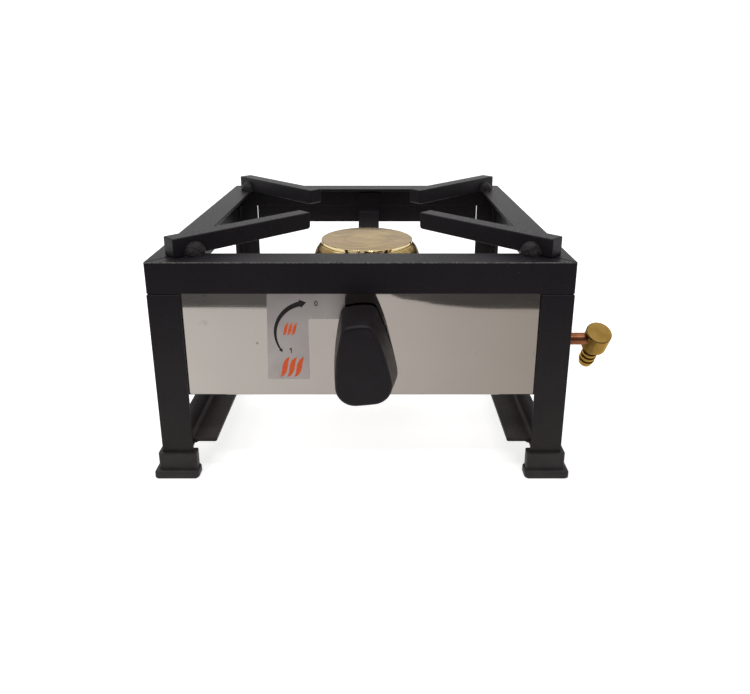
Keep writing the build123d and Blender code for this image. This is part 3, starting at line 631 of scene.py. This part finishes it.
def heat_mark(name, centre, scale):
    """Wavy strokes side by side, pointed at both ends."""
    mesh = bmesh.new()
    for stroke in range(HEAT_STROKES):
        middle = centre[0] + (stroke - (HEAT_STROKES - 1) / 2) * HEAT_PITCH * scale
        line, widths = [], []
        for step in range(HEAT_STEPS + 1):
            rise = 2 * step / HEAT_STEPS - 1
            sway = (HEAT_STRAIGHT * rise + (1 - HEAT_STRAIGHT) * rise**3) * HEAT_SWAY / 2
            line.append((middle + sway * scale, centre[1] + rise * HEAT_HEIGHT / 2 * scale))
            widths.append(HAIRLINE + HEAT_WIDTH * scale * (1 - rise**2) ** HEAT_TAPER)
        solid_stroke(mesh, line, widths, FILM_FRONT, INK_THICKNESS)
    piece(f"heat_marks_{name}", mesh, RED_INK)


def numeral_nought(place):
    """A nought, an upright oval ring."""
    line = []
    for step in range(NUMERAL_STEPS):
        turn = 2 * math.pi * step / NUMERAL_STEPS
        x = place[0] + (NUMERAL_WIDTH - NUMERAL_STROKE) / 2 * math.cos(turn)
        z = place[1] + (NUMERAL_HEIGHT - NUMERAL_STROKE) / 2 * math.sin(turn)
        line.append((x, z))
    mesh = bmesh.new()
    solid_stroke(mesh, line, [NUMERAL_STROKE] * len(line), FILM_FRONT, INK_THICKNESS, closed=True)
    piece("numeral_nought", mesh, DARK_INK)


def numeral_one(place):
    """A one: a flag and an upright."""
    x, z = place
    top = z + NUMERAL_HEIGHT / 2
    bottom = z - NUMERAL_HEIGHT / 2
    flag = NUMERAL_WIDTH / 2
    half = NUMERAL_STROKE / 2
    outline = [
        (x + half, bottom),
        (x + half, top),
        (x - half, top),
        (x - flag, top - flag),
        (x - flag, top - flag - NUMERAL_STROKE),
        (x - half, top - 2 * NUMERAL_STROKE),
        (x - half, bottom),
    ]
    mesh = bmesh.new()
    solid_sheet(mesh, outline, FILM_FRONT, INK_THICKNESS)
    piece("numeral_one", mesh, DARK_INK)


film()
arrow()
for mark, (mark_centre, mark_scale) in HEAT_MARKS.items():
    heat_mark(mark, mark_centre, mark_scale)
numeral_nought(CLOSED_NUMERAL)
numeral_one(OPEN_NUMERAL)


# Fillet welds under the ends of the lower rails, beside the legs' toes

WELD_REACH = 4.0 * MM  # from the corner, along the rail and down the leg
WELD_END_REACH = 0.35  # share of the reach that is left at the weld's ends
WELD_END = 0.04  # share of the swell that is cut off at each end
WELD_START = 1.0 * MM  # behind the leg's front face
WELD_DEPTH = 5.0 * MM
WELD_SINK = 0.6 * MM  # into the rail and the leg
WELD_STATIONS = 14
WELD_STEPS = 12
WELD_RIPPLE = 0.06  # share of the reach
WELD_WAVES = 6  # ripples in a full turn


def rail_weld(name, along_x, along_y):
    """A rippled fillet in the corner between a rail's underside and its leg's toe."""
    corner = Vector((LEG_HIGH.x, LEG_LOW.y + WELD_START, RAIL_LOW.z))
    mesh = bmesh.new()
    rings = []
    for station in range(WELD_STATIONS + 1):
        share = station / WELD_STATIONS
        crown = math.sqrt(math.sin(math.pi * (WELD_END + (1 - 2 * WELD_END) * share)))
        reach = WELD_REACH * (WELD_END_REACH + (1 - WELD_END_REACH) * crown)
        points = [(-WELD_SINK, WELD_SINK), (reach, WELD_SINK)]
        for step in range(WELD_STEPS + 1):
            turn = math.pi / 2 * step / WELD_STEPS
            hollow = reach * (1 + WELD_RIPPLE * math.sin(WELD_WAVES * turn) * crown)
            points.append((reach - hollow * math.sin(turn), -reach + hollow * math.cos(turn)))
        points.append((-WELD_SINK, -reach))
        y = (corner.y + WELD_DEPTH * share) * along_y
        rings.append([mesh.verts.new(((corner.x + x) * along_x, y, corner.z + z)) for x, z in points])
    for near, far in zip(rings, rings[1:]):
        for side in range(len(near)):
            beside = (side + 1) % len(near)
            mesh.faces.new((near[side], near[beside], far[beside], far[side]))
    mesh.faces.new(rings[0])
    mesh.faces.new(rings[-1])
    piece(name, mesh, SURFACES["black_paint"])


for end_name, y_way in (("front", 1), ("back", -1)):
    for side_name, x_way in (("left", 1), ("right", -1)):
        rail_weld(f"rail_weld_{end_name}_{side_name}", x_way, y_way)


# Stage: floor, light and camera

SKY_STRENGTH = 0.42
FLOOR_SIZE = 80.0
FLOOR_CELLS = 8
FLOOR_RETURN = 0.76  # share of the sky's light that the far floor gives back
FLOOR_GLOW = 1 - FLOOR_RETURN * SKY_STRENGTH  # what the floor shows by itself, so that its far end is white

# Front edge of the pale floor, in X and Y, as the panel mirrors it, with a darker floor and wall beyond
FLOOR_EDGE = [(-2.0, -0.532), (-0.05, -0.534), (0.0, -0.59), (0.032, -0.59), (0.049, -0.569)]
FLOOR_EDGE += [(0.072, -0.561), (0.097, -0.5465), (0.147, -0.5305), (0.235, -0.5255), (2.0, -0.5255)]
ROOM_DEPTH = -4.0
ROOM_WIDTH = 12.0
WALL_HEIGHT = 3.2
CARD_LIFT = 0.5 * MM
CARD_CLOUDS = 6  # waves a metre
CARD_SHADES = (0.8, 1.2)  # shares of the card's colour


def bare_material(name):
    """A new node material with an empty tree."""
    made = bpy.data.materials.new(name)
    made.use_nodes = True
    made.node_tree.nodes.clear()
    return made, made.node_tree


def seen_directly(tree):
    """1 where a ray comes from the camera, a mirror or glass, else 0."""
    path = node(tree, "LightPath")
    first = node(tree, "Math", operation="MAXIMUM")
    second = node(tree, "Math", operation="MAXIMUM")
    link(tree, path.outputs["Is Camera Ray"], first.inputs[0])
    link(tree, path.outputs["Is Glossy Ray"], first.inputs[1])
    link(tree, first.outputs[0], second.inputs[0])
    link(tree, path.outputs["Is Transmission Ray"], second.inputs[1])
    return second.outputs[0]


def floor():
    """Pale floor that keeps a soft shadow under the stove."""
    mesh = bmesh.new()
    bmesh.ops.create_grid(mesh, x_segments=FLOOR_CELLS, y_segments=FLOOR_CELLS, size=FLOOR_SIZE / 2)
    made = placed("floor", mesh)
    made.location.z = CAD_BOX[0].z
    surface, tree = bare_material("floor")
    lit = node(tree, "BsdfDiffuse", {"Color": (*FLOOR_COLOUR, 1)})
    glow = node(tree, "Emission", {"Color": (1, 1, 1, 1), "Strength": FLOOR_GLOW})
    both = node(tree, "AddShader")
    mix = node(tree, "MixShader")
    out = node(tree, "OutputMaterial")
    link(tree, lit.outputs[0], both.inputs[0])
    link(tree, glow.outputs[0], both.inputs[1])
    link(tree, seen_directly(tree), mix.inputs["Fac"])
    link(tree, lit.outputs[0], mix.inputs[1])
    link(tree, both.outputs[0], mix.inputs[2])
    link(tree, mix.outputs[0], out.inputs["Surface"])
    made.data.materials.append(surface)


def reflection_card(name, outline, colour):
    """A dark card that only mirrors see."""
    mesh = bmesh.new()
    mesh.faces.new([mesh.verts.new(point) for point in outline])
    made = placed(name, mesh)
    surface, tree = bare_material(name)
    glow = node(tree, "Emission", {"Strength": 1.0})
    shades = [[share * part for part in colour] for share in CARD_SHADES]
    link(tree, mottle(tree, CARD_CLOUDS, shades), glow.inputs["Color"])
    link(tree, glow.outputs[0], node(tree, "OutputMaterial").inputs["Surface"])
    made.data.materials.append(surface)
    for kind in ("camera", "diffuse", "transmission", "shadow", "volume_scatter"):
        setattr(made, f"visible_{kind}", False)


def surroundings():
    """The darker floor in front of the pale one, and the wall behind it."""
    left_end, right_end = FLOOR_EDGE[0][0], FLOOR_EDGE[-1][0]
    edge = [(x, y, CARD_LIFT) for x, y in FLOOR_EDGE]
    far = [(right_end, ROOM_DEPTH, CARD_LIFT), (left_end, ROOM_DEPTH, CARD_LIFT)]
    reflection_card("room_floor", edge + far, ROOM_COLOUR)
    left, right = -ROOM_WIDTH / 2, ROOM_WIDTH / 2
    wall = [(left, ROOM_DEPTH, 0), (right, ROOM_DEPTH, 0)]
    wall += [(right, ROOM_DEPTH, WALL_HEIGHT), (left, ROOM_DEPTH, WALL_HEIGHT)]
    reflection_card("room_wall", wall, WALL_COLOUR)


def world():
    """Soft even light; white where it is looked at."""
    made = bpy.data.worlds.new("studio")
    made.use_nodes = True
    tree = made.node_tree
    back = tree.nodes["Background"]
    back.inputs["Color"].default_value = (1, 1, 1, 1)
    strength = spread(tree, seen_directly(tree), SKY_STRENGTH, 1.0, start=0, end=1)
    link(tree, strength, back.inputs["Strength"])
    bpy.context.scene.world = made


def lamp(name, place, aim, size, watts):
    """A rectangular soft box at a place, aimed at a point."""
    data = bpy.data.lights.new(name, "AREA")
    data.shape = "RECTANGLE"
    data.size, data.size_y = size
    data.energy = watts
    made = bpy.data.objects.new(name, data)
    made.location = place
    made.rotation_euler = (Vector(aim) - Vector(place)).to_track_quat("-Z", "Y").to_euler()
    bpy.context.scene.collection.objects.link(made)


def camera():
    """The photograph's camera, with its frame off the lens's axis."""
    data = bpy.data.cameras.new("photo_camera")
    data.sensor_fit = "HORIZONTAL"
    data.sensor_width = SENSOR_WIDTH
    data.lens = SENSOR_WIDTH * FOCAL_PIXELS / PHOTO_WIDTH
    data.shift_x = (PHOTO_WIDTH / 2 - PRINCIPAL_X) / PHOTO_WIDTH
    data.shift_y = (PRINCIPAL_Y - PHOTO_HEIGHT / 2) / PHOTO_WIDTH
    data.clip_start = CLIP_START
    made = bpy.data.objects.new("photo_camera", data)
    made.location = CAMERA_PLACE
    made.rotation_euler = (math.radians(90 - CAMERA_PITCH), 0, 0)
    bpy.context.scene.collection.objects.link(made)
    bpy.context.scene.camera = made


floor()
surroundings()
world()
lamp("overhead", place=(-0.25, 0.35, 1.9), aim=(0, 0, 0.1), size=(2.2, 1.8), watts=15)
lamp("ceiling_left", place=(-0.55, -0.75, 1.55), aim=(0, 0, 0.15), size=(0.26, 0.26), watts=2.4)
lamp("ceiling_right", place=(0.43, -0.75, 1.55), aim=(0, 0, 0.15), size=(0.26, 0.26), watts=2.4)
lamp("ceiling_strip", place=(0, -0.8, 1.55), aim=(0, 0, 0.15), size=(1.6, 0.1), watts=2.6)
camera()
bpy.context.scene.view_settings.view_transform = "Standard"
